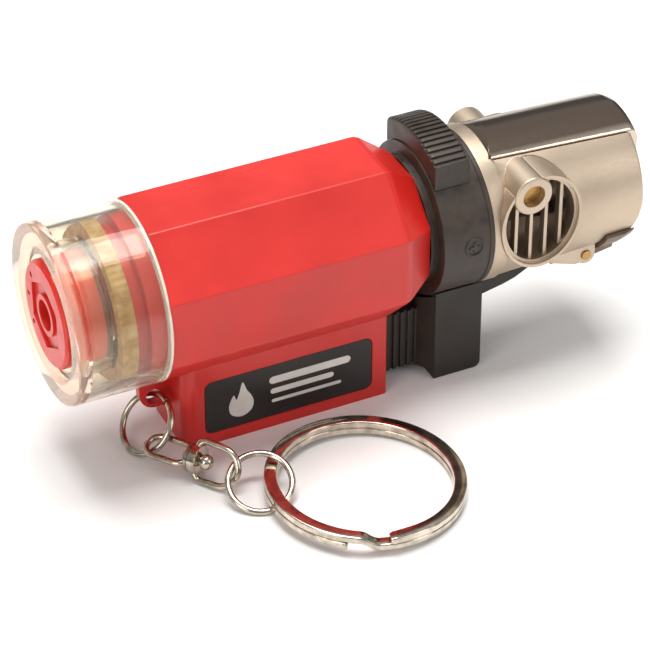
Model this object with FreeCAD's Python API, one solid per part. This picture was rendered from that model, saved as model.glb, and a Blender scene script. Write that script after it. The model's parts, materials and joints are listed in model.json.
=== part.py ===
"""Pocket butane torch with a clear tank end, a thumb trigger, a flip lid and a key-ring chain.

Millimetres. +X runs along the torch axis from the filler end to the flame end, +Z is up,
and the origin is on the axis at the filler end face. The key-ring chain lies at -Y.
"""
import FreeCAD, Part
import math
import os

Vector = FreeCAD.Vector
AXIS_X = Vector(1, 0, 0)
AXIS_Y = Vector(0, 1, 0)
AXIS_Z = Vector(0, 0, 1)

# ---- driving dimensions -------------------------------------------------------------
RUN_GAP = 0.05            # radial clearance of a running fit
SNUG_GAP = 0.02           # clearance between pieces that are fixed together

TANK_R = 11.5             # clear tank cup, outside
TANK_LENGTH = 12.0
TANK_BORE_R = 10.05
RECESS_R = 7.4            # recess for the filler plug
RECESS_DEPTH = 5.6
SLEEVE_BORE_R = 8.4       # inner sleeve of the cup
SEAL_X = (5.9, 7.9)
PORT_R = 2.0              # refill port
PORT_LENGTH = 2.6
VALVE_R = 2.95            # filler valve body
VALVE_BORE_R = 2.35
STEM_R = 0.8
FUEL_R = 8.0              # fuel chamber inside the housing

HOUSING_APOTHEM = 11.0    # octagonal housing, centre to flat
HOUSING_END = 43.4        # where the flats stop
BEVEL_END = 44.1
NOSE_END = 48.0
NOSE_APOTHEM = 8.1
CORNER_R = 0.35           # rounding of the housing's corners
FRONT_BORE_R = 7.5        # front bore of the housing
SHOULDER = (30.0, 32.0)   # inner shoulder that the bulkhead rests on
SHOULDER_R = 6.5

FLOOR_Z = -22.2           # what the torch stands on
FIN_X = (15.5, 43.6)
FIN_HALF = 5.5
FIN_CAVITY_HALF = 3.3
FIN_CAVITY_Z = (-20.7, -11.7)
LABEL_X = (18.2, 41.4)
LABEL_Z = (-20.6, -12.6)
LABEL_DEPTH = 0.4

LUG_TIP = (13.7, -15.75)    # x and z of the lug's round end
LUG_HOLE = (13.4, -16.24)   # x and z of the chain hole
LUG_HOLE_R = 1.05
LUG_HALF = 0.6
LUG_R = 2.2

COLLAR_X = (49.0, 56.0)
COLLAR_R = 10.1
COLLAR_BORE_R = 9.3
COLLAR_NECK_R = 8.1
SLEEVE_R = (6.75, 7.45)   # the collar's tail inside the housing

TAB_X = (49.2, 54.0)
TAB_R = 12.9
TAB_HALF = 6.6
KEY_X = (50.5, 53.0)
KEY_ANGLE = 6.0           # half angle of the key under the tab
WINDOW_ANGLE = 28.0       # half angle of the collar's window
RIDGES = 15

REGULATOR_APOTHEM = 3.9
LEVER_PIVOT = (42.6, -9.3)
LEVER_PIN_R = 0.6
FLANGE_X = (41.0, 42.0)   # flange on the valve stem that the lever's fork lifts

CASE_X = (18.2, 32.2)     # piezo igniter
CASE_HOLLOW = (-2.35, 2.35, -18.9, -13.6)
PIEZO_Z = -16.25          # axis of its crystal and spring
LEAD_X = 31.0             # where the ignition lead rises from the igniter
LEAD_Y = 1.75
LEAD_Z = -4.9
LEAD_R = 0.4
ELECTRODE_R = 0.3

TRIGGER_X = (50.3, 57.0)
TRIGGER_HALF = 5.5
NECK_HALF = 3.2
NECK_X = (36.0, 48.8)
NECK_Z = (-20.6, -12.0)
TONGUE_END = 64.6
RIB_PITCH = 1.0
RAMP_SLOPE = 0.19         # ramp on the neck that lifts the lever's toe
RAMP_GAP = 0.13

HEAD_X = (56.0, 77.9)
HEAD_BASE_R = 10.2
HEAD_REAR_R = 10.0
HEAD_FRONT_R = 9.4
HEAD_BORE_R = 8.4
LID_PIVOT = (61.1, 5.9)
BOSS_R = 2.65
BOSS_FACE = (-10.5, 8.3)  # the near boss stands out further than the far one
AXLE_R = 1.5
WASHER_R = 2.1
LID_X = (58.2, 79.05)
LID_HALF = (4.5, 4.9)     # half width at the rear and at the front
LID_EDGE_R = 0.75
LID_SWING_R = 4.5         # the lid's rear end stays inside this radius
GRILLE_CENTRE = (62.5, 1.7)
GRILLE_SEMI = (5.7, 6.7)
GRILLE_RIM = 0.85
SLAT_PITCH = 2.08
SLAT_START = 59.4
SLAT_COUNT = 4
SLAT_THICK = 0.45
GUARD_PIN = (71.7, -8.6)
GUARD_PIN_R = 0.65
GUARD_LUG_X = (66.5, 73.0)

MIXING_R = 2.95
BURNER_R = (3.7, 4.2)

WIRE_R = 0.42             # key-ring chain wire
LINK_R = 3.9
SPLIT_R = 11.7            # centre line of the split ring, 25 mm outside
SPLIT_WIDE = 1.6
SPLIT_COIL = 0.95
LUG_RING_CENTRE = Vector(11.67, -2.18, -18.79)
LUG_RING_NORMAL = Vector(0.74, 0.18, -0.65)
SWIVEL_START = Vector(11.68, -6.07, -19.69)   # centre of the eye's round end
SWIVEL_AXIS = Vector(0.56, -0.83, 0.04)
EYE_WIDTH = Vector(0.81, 0.56, 0.19)          # across the eye's opening
STIRRUP_WIDTH = Vector(-0.32, -0.27, -0.91)
EYE_LENGTH = 4.9
EYE_R = 1.66
EYE_BASE_R = 1.8
RIVET_R = 0.62
RIVET_HEAD_R = 0.98
HUB_R = 1.85
HUB_START = 5.05          # the stirrup's disc, along the swivel
HUB_END = 6.15
STIRRUP_BASE = 5.55
LINK_RING_CENTRE = Vector(20.18, -17.6, -20.02)
LINK_RING_NORMAL = Vector(-0.155, -0.424, 0.892)
SPLIT_CENTRE = Vector(32.2, -22.3, -20.6)
SPLIT_NORMAL = Vector(0.05, 0.0, 1.0)


# ---- small helpers ------------------------------------------------------------------
def rod(radius, x0, x1, y=0.0, z=0.0):
    """Cylinder along X."""
    return Part.makeCylinder(radius, x1 - x0, Vector(x0, y, z), AXIS_X)


def rod_y(radius, y0, y1, x, z):
    """Cylinder along Y."""
    return Part.makeCylinder(radius, y1 - y0, Vector(x, y0, z), AXIS_Y)


def tube(outer, inner, x0, x1, y=0.0, z=0.0):
    """Ring or tube along X."""
    return rod(outer, x0, x1, y, z).cut(rod(inner, x0 - 1, x1 + 1, y, z))


def block(x0, x1, y0, y1, z0, z1):
    return Part.makeBox(x1 - x0, y1 - y0, z1 - z0, Vector(x0, y0, z0))


def turned(profile):
    """Solid of revolution about the torch axis from (x, radius) points."""
    wire = Part.makePolygon([Vector(x, 0, r) for x, r in profile + profile[:1]])
    return Part.Face(wire).revolve(Vector(0, 0, 0), AXIS_X, 360)


def side_plate(points, y0, y1):
    """Plate from (x, z) points, from y0 to y1."""
    wire = Part.makePolygon([Vector(x, y0, z) for x, z in points + points[:1]])
    return Part.Face(wire).extrude(Vector(0, y1 - y0, 0))


def plan_plate(points, z0, z1):
    """Plate from (x, y) points, from z0 to z1."""
    wire = Part.makePolygon([Vector(x, y, z0) for x, y in points + points[:1]])
    return Part.Face(wire).extrude(Vector(0, 0, z1 - z0))


def polygon_wire(sides, apothem, x):
    """Regular polygon across X with flats at top and sides."""
    radius = apothem / math.cos(math.pi / sides)
    corners = []
    for index in range(sides + 1):
        angle = math.pi / sides + 2 * math.pi * index / sides
        corners.append(Vector(x, radius * math.cos(angle), radius * math.sin(angle)))
    return Part.makePolygon(corners)


def polygon_rod(sides, apothem, x0, x1):
    return Part.Face(polygon_wire(sides, apothem, x0)).extrude(Vector(x1 - x0, 0, 0))


def sector(angle, half, reach, x0, x1):
    """Wedge about the axis. The angle runs from +Z towards +Y, in degrees."""
    steps = 8
    points = [Vector(x0, 0, 0)]
    for index in range(steps + 1):
        turn = math.radians(angle - half + 2 * half * index / steps)
        points.append(Vector(x0, reach * math.sin(turn), reach * math.cos(turn)))
    wire = Part.makePolygon(points + points[:1])
    return Part.Face(wire).extrude(Vector(x1 - x0, 0, 0))


def rounded(shape, radius, wanted):
    """Fillet the edges that the test picks."""
    edges = [edge for edge in shape.Edges if wanted(edge)]
    return shape.makeFillet(radius, edges)


def upright_at(x, y, tolerance=0.05):
    """Test for an edge along Z at x and y."""
    def test(edge):
        first = edge.Vertexes[0].Point
        last = edge.Vertexes[-1].Point
        along = abs(first.z - last.z) > 1.0
        near = all(abs(p.x - x) < tolerance and abs(abs(p.y) - y) < tolerance for p in (first, last))
        return along and near
    return test


def coil(radius, wire, x0, x1, turns):
    """Compression spring along X between two faces."""
    pitch = (x1 - x0 - 2 * wire) / turns
    helix = Part.makeHelix(pitch, pitch * turns, radius)
    start = Part.Wire(Part.makeCircle(wire, Vector(radius, 0, 0), Vector(0, 2 * math.pi * radius, pitch)))
    spring = Part.Wire(helix.Edges).makePipeShell([start], True, True)
    spring.rotate(Vector(0, 0, 0), AXIS_Y, 90)
    spring.translate(Vector(x0 + wire, 0, 0))
    return spring


def ring_wire(centre, normal, radius, wire):
    return Part.makeTorus(radius, wire, centre, normal)


# ---- housing ------------------------------------------------------------------------
def octagon_body():
    stations = ((TANK_LENGTH, HOUSING_APOTHEM), (HOUSING_END, HOUSING_APOTHEM),
                (BEVEL_END, HOUSING_APOTHEM - 0.25), (NOSE_END, NOSE_APOTHEM))
    wires = [polygon_wire(8, apothem, x) for x, apothem in stations]
    body = Part.makeLoft(wires, True, True)
    return rounded(body, CORNER_R, lambda edge: edge.CenterOfMass.x > TANK_LENGTH + 1)


def fin():
    solid = block(FIN_X[0], FIN_X[1], -FIN_HALF, FIN_HALF, FLOOR_Z, -9.0)
    solid = rounded(solid, 1.8, upright_at(FIN_X[0], FIN_HALF))
    solid = rounded(solid, 0.5, upright_at(FIN_X[1], FIN_HALF))
    return solid


def lug():
    tip_x, tip_z = LUG_TIP
    top = -HOUSING_APOTHEM + 0.2
    tip = rod_y(LUG_R, -LUG_HALF, LUG_HALF, tip_x, tip_z)
    plate = side_plate([(tip_x - LUG_R, tip_z), (tip_x - LUG_R, -13.2), (TANK_LENGTH + 0.1, -12.2),
                        (TANK_LENGTH + 0.1, top), (FIN_X[0] + 0.5, top), (FIN_X[0] + 0.5, -18.2),
                        (tip_x + 0.8, -18.0), (tip_x + 0.8, tip_z)], -LUG_HALF, LUG_HALF)
    return tip.fuse(plate).cut(rod_y(LUG_HOLE_R, -3, 3, *LUG_HOLE))


def lever_slot():
    pivot_x, pivot_z = LEVER_PIVOT
    upper = block(pivot_x - 6.2, pivot_x + 1.8, -1.2, 1.2, -12.2, -6.5)
    ramp_way = block(SHOULDER[1] + 0.7, pivot_x, -1.0, 1.0, -12.2, -10.3)
    return upper.fuse(ramp_way)


def make_body_shell():
    solid = octagon_body().fuse([fin(), lug()])
    spigot = rod(TANK_BORE_R - SNUG_GAP, 9.6, TANK_LENGTH + 0.5).fuse(rod(9.0, SEAL_X[1] + 0.05, 10.0))
    solid = solid.fuse(spigot)
    solid = solid.cut(rod(FUEL_R, 6.0, SHOULDER[0]))
    solid = solid.cut(rod(SHOULDER_R, SHOULDER[0] - 1, SHOULDER[1] + 1))
    solid = solid.cut(rod(FRONT_BORE_R, SHOULDER[1], NOSE_END + 1))
    low, high = FIN_CAVITY_Z
    solid = solid.cut(block(17.5, FIN_X[1] + 1, -FIN_CAVITY_HALF, FIN_CAVITY_HALF, low, high))
    solid = solid.cut(lever_slot())
    solid = solid.cut(rod_y(LEVER_PIN_R + SNUG_GAP, -4.3, 4.3, *LEVER_PIVOT))
    lead_hole = Part.makeCylinder(0.6, 7.5, Vector(LEAD_X, LEAD_Y, -12.5), AXIS_Z)
    solid = solid.cut(lead_hole)
    recess = block(LABEL_X[0], LABEL_X[1], -FIN_HALF - 1, -FIN_HALF + LABEL_DEPTH, *LABEL_Z)
    solid = solid.cut(round_label(recess, -FIN_HALF - 1, -FIN_HALF + LABEL_DEPTH))
    return solid.removeSplitter()


def round_label(solid, y0, y1):
    """Round the four corners of a plate that lies across Y."""
    def corner(edge):
        first = edge.Vertexes[0].Point
        last = edge.Vertexes[-1].Point
        return abs(abs(first.y - last.y) - (y1 - y0)) < 0.01
    return rounded(solid, 1.1, corner)


def make_label_plate():
    gap = 0.08
    face = -FIN_HALF + 0.05
    back = -FIN_HALF + LABEL_DEPTH - SNUG_GAP
    plate = block(LABEL_X[0] + gap, LABEL_X[1] - gap, face, back, LABEL_Z[0] + gap, LABEL_Z[1] - gap)
    return round_label(plate, face, back)


# ---- tank end -----------------------------------------------------------------------
def make_tank_cup():
    """Cup with a rounded rim, a dished end face and an inner sleeve around the plug's recess."""
    rim = 0.5
    profile = [(0.9, RECESS_R), (0.9, 8.3), (0.0, 8.7), (0.0, TANK_R - rim), (0.15, TANK_R - 0.15),
               (rim, TANK_R), (TANK_LENGTH - SNUG_GAP, TANK_R), (TANK_LENGTH - SNUG_GAP, TANK_BORE_R),
               (2.0, TANK_BORE_R), (2.0, SLEEVE_BORE_R), (RECESS_DEPTH + 1.0, SLEEVE_BORE_R),
               (RECESS_DEPTH + 1.0, 4.6), (RECESS_DEPTH, 4.6), (RECESS_DEPTH, RECESS_R)]
    return turned(profile)


def make_tank_seal_ring():
    return tube(TANK_BORE_R - SNUG_GAP, SLEEVE_BORE_R + SNUG_GAP, *SEAL_X)


def make_filler_plug():
    profile = [(0, 0), (0, 6.5), (0.4, 6.9), (2.4, 6.9), (2.8, 6.3), (3.3, 6.3), (3.7, 6.9),
               (5.1, 6.9), (5.1, 4.5), (9.0, 4.5), (9.0, 0)]
    plug = turned(profile).common(polygon_rod(8, 6.75, -1, 2.9).fuse(rod(7.5, 2.6, 12)))
    plug = plug.cut(polygon_rod(6, 4.1, -1, 0.45).cut(rod(2.7, -1, 1)))
    for turn in (50, 90, 130):
        mark = block(-1, 0.25, 5.0, 5.75, -0.28, 0.28)
        mark.rotate(Vector(0, 0, 0), AXIS_X, turn - 90)
        plug = plug.cut(mark)
    plug = plug.cut(rod(PORT_R, -1, 2.7))
    return plug.cut(rod(VALVE_R + SNUG_GAP, 2.6, 12))


def make_plug_gasket():
    return tube(6.7, 4.5 + SNUG_GAP, 5.1 + SNUG_GAP, RECESS_DEPTH - SNUG_GAP)


def make_filler_valve_body():
    front = tube(VALVE_R, STEM_R + RUN_GAP, PORT_LENGTH, 5.2)
    return front.fuse(tube(VALVE_R, VALVE_BORE_R, 5.0, 11.5)).removeSplitter()


def make_filler_seal():
    return tube(VALVE_BORE_R - SNUG_GAP, STEM_R + RUN_GAP, 5.2 + SNUG_GAP, 5.9)


def make_filler_stem():
    stem = rod(STEM_R, PORT_LENGTH + 0.08, 9.0).fuse(rod(2.1, 5.96, 6.9))
    return stem.cut(rod(0.35, 0, 5.0)).removeSplitter()


def make_filler_spring():
    return coil(1.7, 0.22, 6.95, 10.15, 3)


def make_filler_end_plug():
    return tube(VALVE_BORE_R - SNUG_GAP, 1.0, 10.2, 11.5)


# ---- gas valve ----------------------------------------------------------------------
def make_tank_bulkhead():
    disc = tube(FUEL_R - SNUG_GAP, 3.4 + SNUG_GAP, 27.0, SHOULDER[0] - SNUG_GAP)
    return disc.cut(tube(FUEL_R + 1, 7.2, 28.1, 28.9))


def make_bulkhead_o_ring():
    return Part.makeTorus(7.6, 0.37, Vector(28.5, 0, 0), AXIS_X)


def make_gas_valve_body():
    profile = [(26.0, 0.9), (26.0, 3.4), (30.1, 3.4), (30.1, 4.6), (31.6, 4.6), (31.6, 3.4),
               (36.6, 3.4), (36.6, 0.95), (34.0, 0.95), (34.0, 2.4), (27.5, 2.4), (27.5, 0.9)]
    return turned(profile)


def make_valve_seat():
    return rod(2.4 - SNUG_GAP, 27.5 + SNUG_GAP, 28.5)


def make_fuel_wick():
    return rod(0.9 - SNUG_GAP, 13.0, 27.5)


def make_valve_stem():
    stem = rod(0.9, 28.55, 46.0).fuse([rod(2.3, 29.2, 30.0), rod(2.6, *FLANGE_X)])
    return stem.cut(rod(0.4, 32.0, 47.0)).removeSplitter()


def make_valve_spring():
    return coil(1.75, 0.22, 30.05, 33.95, 4)


def make_valve_lever():
    """Bell crank: its fork lifts the stem flange and its short arm rides on the trigger's ramp."""
    pivot_x, pivot_z = LEVER_PIVOT
    hub = rod_y(1.35, -1.05, 1.05, pivot_x, pivot_z)
    back = FLANGE_X[0] - 0.95
    front = FLANGE_X[0] - RUN_GAP
    riser = side_plate([(pivot_x - 1.2, pivot_z + 0.4), (back, -4.1), (back, -3.0), (front, -3.0),
                        (front, -4.6), (pivot_x + 1.1, pivot_z + 0.7)], -1.05, 1.05)
    bridge = block(back, front, -1.95, 1.95, -4.1, -3.0)
    tines = [block(back, front, side * 1.5 - 0.45, side * 1.5 + 0.45, -3.2, 0.6) for side in (-1, 1)]
    toe_x = pivot_x - 5.0
    toe_z = pivot_z - 1.95
    arm = side_plate([(pivot_x - 0.6, pivot_z - 1.1), (pivot_x - 0.6, pivot_z + 0.9),
                      (toe_x + 0.1, toe_z + 1.3), (toe_x - 0.4, toe_z + 0.4), (toe_x, toe_z)],
                     -0.9, 0.9)
    toe = rod_y(0.5, -0.9, 0.9, toe_x, toe_z + 0.5)
    lever = hub.fuse([riser, bridge, arm, toe] + tines)
    return lever.cut(rod_y(LEVER_PIN_R + RUN_GAP, -3, 3, pivot_x, pivot_z)).removeSplitter()


def make_lever_pin():
    return rod_y(LEVER_PIN_R, -4.2, 4.2, *LEVER_PIVOT)


def make_gas_tube():
    return tube(1.5, 0.9 + RUN_GAP, 43.6, 55.3)


# ---- flame adjuster -----------------------------------------------------------------
def tab_rim(edge):
    """Test for the two outer curved edges of the tab."""
    middle = edge.CenterOfMass
    return edge.BoundBox.XLength < 0.01 and math.hypot(middle.y, middle.z) > TAB_R - 0.8 and edge.Length > 5


def make_adjuster_tab():
    tab = tube(TAB_R, COLLAR_R + RUN_GAP, *TAB_X)
    tab = tab.common(block(TAB_X[0] - 1, TAB_X[1] + 1, -TAB_HALF, TAB_HALF, 0, TAB_R + 1))
    tab = rounded(tab, 0.5, tab_rim)
    half = math.degrees(math.asin(TAB_HALF / TAB_R))
    grooves = []
    for index in range(RIDGES):
        turn = -half + (index + 0.5) * 2 * half / RIDGES
        groove = block(TAB_X[0] - 1, TAB_X[1] + 1, -0.2, 0.2, TAB_R - 0.28, TAB_R + 1)
        groove.rotate(Vector(0, 0, 0), AXIS_X, turn)
        grooves.append(groove)
    key = tube(COLLAR_R + 0.4, COLLAR_BORE_R - RUN_GAP + SNUG_GAP, *KEY_X)
    key = key.common(sector(0, KEY_ANGLE, 20, *KEY_X))
    return tab.cut(Part.Compound(grooves)).fuse(key).removeSplitter()


def make_adjuster_ring():
    """Ring inside the collar, with a rear tube that reaches the regulator nut."""
    ring = tube(COLLAR_BORE_R - RUN_GAP, 8.4, 50.1, 53.6)
    web = tube(8.6, 6.0, 50.1, 51.1)
    drive = tube(SLEEVE_R[0] - RUN_GAP, 6.0, 36.7, 51.1)
    disc = tube(SLEEVE_R[0] - RUN_GAP, 4.6, 36.7, 37.7)
    hub = rod(4.6, 34.6, 37.7).cut(polygon_rod(8, REGULATOR_APOTHEM + SNUG_GAP, 33, 39))
    open_side = sector(180, 46, 9.0, 30, 50.05).cut(rod(4.62, 29, 51))
    ring = ring.fuse([web, drive]).cut(open_side)
    return ring.fuse([disc.cut(open_side), hub]).removeSplitter()


def make_regulator_nut():
    nut = polygon_rod(8, REGULATOR_APOTHEM, 32.4, 36.5)
    return nut.cut(rod(3.4 + RUN_GAP, 30, 40))


# ---- igniter ------------------------------------------------------------------------
def make_piezo_case():
    case = block(CASE_X[0], CASE_X[1], -3.2, 3.2, -20.6, -12.3)
    return case.cut(block(19.6, CASE_X[1] + 1, *CASE_HOLLOW))


def make_piezo_terminal():
    return block(17.6, CASE_X[0] - SNUG_GAP, -2.0, 2.0, -19.0, -13.5)


def make_piezo_crystal():
    return rod(1.6, 19.6 + SNUG_GAP, 22.0, 0, PIEZO_Z)


def make_piezo_plunger():
    plunger = block(27.6, NECK_X[0] - SNUG_GAP, -2.3, 2.3, -18.85, -13.65)
    return plunger.cut(rod(0.9, 26, 29.5, 0, PIEZO_Z))


def make_piezo_spring():
    spring = coil(1.9, 0.28, 22.05, 27.55, 3)
    spring.translate(Vector(0, 0, PIEZO_Z))
    return spring


def make_ignition_lead():
    """Insulated wire: up from the igniter, one bend, then forward under the burner."""
    bend = 1.6
    foot = Vector(LEAD_X, LEAD_Y, -12.3 + SNUG_GAP)
    rise = Vector(LEAD_X, LEAD_Y, LEAD_Z - bend)
    middle = Vector(LEAD_X + bend * (1 - math.sqrt(0.5)), LEAD_Y, LEAD_Z - bend * (1 - math.sqrt(0.5)))
    level = Vector(LEAD_X + bend, LEAD_Y, LEAD_Z)
    end = Vector(60.9, LEAD_Y, LEAD_Z)
    path = Part.Wire([Part.LineSegment(foot, rise).toShape(), Part.Arc(rise, middle, level).toShape(),
                      Part.LineSegment(level, end).toShape()])
    section = Part.Wire(Part.makeCircle(LEAD_R, foot, AXIS_Z))
    return path.makePipeShell([section], True, False)


def make_electrode_insulator():
    return tube(0.9, ELECTRODE_R + SNUG_GAP, 61.0, 71.5, LEAD_Y, LEAD_Z)


def make_electrode():
    bend = Vector(77.3, LEAD_Y, LEAD_Z)
    pin = rod(ELECTRODE_R, 61.0, bend.x, LEAD_Y, LEAD_Z)
    tip = Part.makeCylinder(ELECTRODE_R, 2.4, bend, Vector(0, -0.3, 1).normalize())
    return pin.fuse([tip, Part.makeSphere(ELECTRODE_R, bend)]).removeSplitter()


# ---- trigger ------------------------------------------------------------------------
def trigger_ribs():
    """Grooves across both sides of the neck."""
    grooves = []
    count = int((NECK_X[1] - 39.5) / RIB_PITCH)
    for index in range(count):
        x = NECK_X[1] - 0.75 - index * RIB_PITCH
        for side in (-1, 1):
            near = side * NECK_HALF - 0.28
            grooves.append(block(x, x + 0.5, near, near + 0.56, -21, -11.9))
    return Part.Compound(grooves)


def make_trigger():
    under = COLLAR_R + 0.25
    thumb = block(TRIGGER_X[0], TRIGGER_X[1], -TRIGGER_HALF, TRIGGER_HALF, FLOOR_Z + 0.1, -5)
    thumb = rounded(thumb, 0.9, lambda edge: edge_at(edge, TRIGGER_X[1], FLOOR_Z + 0.1))
    flare = plan_plate([(NECK_X[1], -NECK_HALF), (TRIGGER_X[0] + 0.1, -TRIGGER_HALF),
                        (TRIGGER_X[0] + 0.1, TRIGGER_HALF), (NECK_X[1], NECK_HALF)], -20.9, -8.0)
    tongue = side_plate([(56.5, -8), (TONGUE_END, -8), (TONGUE_END, -9.7), (62.6, -10.75), (61.0, -11.25),
                         (57.5, -12.0), (56.5, -12.4)], -4.0, 4.0)
    top = thumb.fuse([flare, tongue]).cut(rod(under, 40, 70)).cut(rod(under + 0.3, 40, TRIGGER_X[0]))
    neck = block(NECK_X[0], NECK_X[1] + 0.2, -NECK_HALF, NECK_HALF, *NECK_Z).cut(trigger_ribs())
    ramp = side_plate([(36.6, NECK_Z[1] - 0.1), (36.6, ramp_z(36.6)), (41.5, ramp_z(41.5)),
                       (41.9, NECK_Z[1] - 0.1)], -0.8, 0.8)
    return top.fuse([neck, ramp]).removeSplitter()


def ramp_z(x):
    """Height of the ramp that lifts the lever's toe."""
    pivot_x, pivot_z = LEVER_PIVOT
    return pivot_z - 1.95 - RAMP_GAP + RAMP_SLOPE * (x - (pivot_x - 5.0))


def edge_at(edge, x, z, tolerance=0.05):
    """Test for an edge along Y at x and z."""
    ends = (edge.Vertexes[0].Point, edge.Vertexes[-1].Point)
    return all(abs(p.x - x) < tolerance and abs(p.z - z) < tolerance for p in ends)


# ---- collar -------------------------------------------------------------------------
def plus_mark():
    """Raised circled plus that shows which way gives more gas."""
    x, z = 53.2, 0.4
    ring = rod_y(1.35, -12, 0, x, z).cut(rod_y(1.05, -13, 1, x, z))
    bars = block(x - 0.7, x + 0.7, -12, 0, z - 0.17, z + 0.17)
    bars = bars.fuse(block(x - 0.17, x + 0.17, -12, 0, z - 0.7, z + 0.7))
    return ring.fuse(bars).common(tube(COLLAR_R + 0.15, COLLAR_R - 0.1, 50, 56))


def make_collar():
    wall = tube(COLLAR_R, COLLAR_BORE_R, *COLLAR_X)
    lip = tube(COLLAR_R + 0.12, COLLAR_BORE_R, COLLAR_X[1] - 0.6, COLLAR_X[1])
    back = tube(COLLAR_R, SLEEVE_R[0], COLLAR_X[0], COLLAR_X[0] + 1.0)
    neck = tube(COLLAR_NECK_R + 0.3, SLEEVE_R[0], NOSE_END + SNUG_GAP, COLLAR_X[0] + 0.1)
    sleeve = tube(SLEEVE_R[1], SLEEVE_R[0], 38.5, COLLAR_X[0] + 0.1)
    sleeve = sleeve.cut(sector(180, 24, 9, 38.0, 46.0))
    collar = wall.fuse([lip, back, neck, sleeve])
    window = tube(COLLAR_R + 2, COLLAR_BORE_R - 0.2, KEY_X[0] - 0.2, KEY_X[1] + 0.2)
    collar = collar.cut(window.common(sector(0, WINDOW_ANGLE, 20, 49, 56)))
    return collar.fuse(plus_mark()).removeSplitter()


def make_front_plate():
    plate = tube(COLLAR_BORE_R - SNUG_GAP, 3.0, 54.4, COLLAR_X[1])
    return plate.cut(rod(LEAD_R + 0.05, 50, 60, LEAD_Y, LEAD_Z))


# ---- head ---------------------------------------------------------------------------
def lid_half(x):
    """Half width of the lid at x."""
    rear, front = LID_HALF
    share = (x - LID_X[0]) / (LID_X[1] - LID_X[0])
    return rear + (front - rear) * share


def lid_plan(extra, z0, z1, x0=None, x1=None):
    """Prism above the head in the lid's plan shape, grown by extra on each side."""
    x0 = LID_X[0] if x0 is None else x0
    x1 = LID_X[1] if x1 is None else x1
    a = lid_half(x0) + extra
    b = lid_half(x1) + extra
    return plan_plate([(x0, -a), (x1, -b), (x1, b), (x0, a)], z0, z1)


def oval(grow, y0, y1):
    """Elliptic prism at the grille along Y."""
    x, z = GRILLE_CENTRE
    semi_x = GRILLE_SEMI[0] + grow
    semi_z = GRILLE_SEMI[1] + grow
    curve = Part.Ellipse(Vector(x, y0, z + semi_z), Vector(x + semi_x, y0, z), Vector(x, y0, z))
    return Part.Face(Part.Wire(curve.toShape())).extrude(Vector(0, y1 - y0, 0))


def head_blank():
    """Barrel with its base ring, as a solid bar."""
    rear, front = HEAD_X
    return turned([(rear + SNUG_GAP, 0), (rear + SNUG_GAP, HEAD_BASE_R), (57.9, HEAD_BASE_R),
                   (58.3, HEAD_REAR_R), (front - 0.5, HEAD_FRONT_R), (front - 0.15, HEAD_FRONT_R - 0.12),
                   (front, HEAD_FRONT_R - 0.45), (front, 0)])


def guard_lugs(x0, x1, low, reach):
    """Ears on both sides of the guard pin."""
    pin_x, pin_z = GUARD_PIN
    ears = []
    for side in (-1, 1):
        y0 = min(side * low, side * reach)
        y1 = max(side * low, side * reach)
        plate = side_plate([(x0, -5.0), (x1, -5.0), (pin_x + 1.3, pin_z + 0.2), (pin_x + 0.9, pin_z - 1.0),
                            (pin_x - 1.6, pin_z - 1.0), (x0, pin_z + 0.2)], y0, y1)
        ears.append(plate.fuse(rod_y(1.3, y0, y1, pin_x, pin_z)))
    return ears


def make_head_barrel():
    pivot_x, pivot_z = LID_PIVOT
    solid = head_blank()
    bosses = rod_y(BOSS_R, *BOSS_FACE, pivot_x, pivot_z)
    bosses = rounded(bosses, 0.3, lambda edge: edge.Closed)
    solid = solid.fuse([bosses] + guard_lugs(*GUARD_LUG_X, 4.6, 6.2))
    solid = solid.cut(rod(HEAD_BORE_R, 57.4, 90))
    solid = solid.cut(lid_plan(0.3, 4.0, 14.0, LID_X[0] - 0.15, 85.0))
    pocket = rod_y(LID_SWING_R + 0.15, -4.75, 4.75, pivot_x, pivot_z)
    solid = solid.cut(pocket)
    solid = solid.cut(rod_y(AXLE_R + SNUG_GAP, -12, 12, pivot_x, pivot_z))
    solid = solid.cut(rod(3.15, 50, 60))
    solid = solid.cut(rod(LEAD_R + 0.05, 50, 60, LEAD_Y, LEAD_Z))
    keep_boss = rod_y(BOSS_R, *BOSS_FACE, pivot_x, pivot_z)
    for low, high in ((-12, -4.9), (4.9, 12)):
        solid = solid.cut(oval(SNUG_GAP, low, high).cut(keep_boss))
    slope = side_plate([(75.9, -12), (HEAD_X[1] + 1, -12), (HEAD_X[1] + 1, 0.5), (HEAD_X[1], 0.5)], -12, 12)
    solid = solid.cut(slope).cut(rod_y(GUARD_PIN_R + SNUG_GAP, -8, 8, *GUARD_PIN))
    return max(solid.removeSplitter().Solids, key=lambda piece: piece.Volume)


def make_grille(side):
    """Oval rim with upright slats, on one side of the head."""
    pivot_x, pivot_z = LID_PIVOT
    inner, step, face = 4.95, 9.9, 10.4
    rim = oval(0, inner, face).cut(oval(-GRILLE_RIM, inner - 1, face + 1)).cut(rod(8.0, 50, 80))
    rim = rim.cut(oval(-GRILLE_RIM / 2, step, face + 1))
    bars = []
    centre_z = GRILLE_CENTRE[1]
    for index in range(SLAT_COUNT):
        x = SLAT_START + index * SLAT_PITCH
        bars.append(block(x - SLAT_THICK / 2, x + SLAT_THICK / 2, 8.3, 9.4, centre_z - 8, centre_z + 8))
    slats = Part.Compound(bars).common(oval(-GRILLE_RIM + 0.1, 5, 12))
    grille = rim.fuse(slats).cut(rod_y(BOSS_R + SNUG_GAP, 0, 14, pivot_x, pivot_z))
    body = max(grille.Solids, key=lambda piece: piece.Volume)
    if side > 0:
        return body.common(rod(HEAD_REAR_R - 0.05, 50, 75)).removeSplitter()
    return body.mirror(Vector(0, 0, 0), AXIS_Y)


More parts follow.
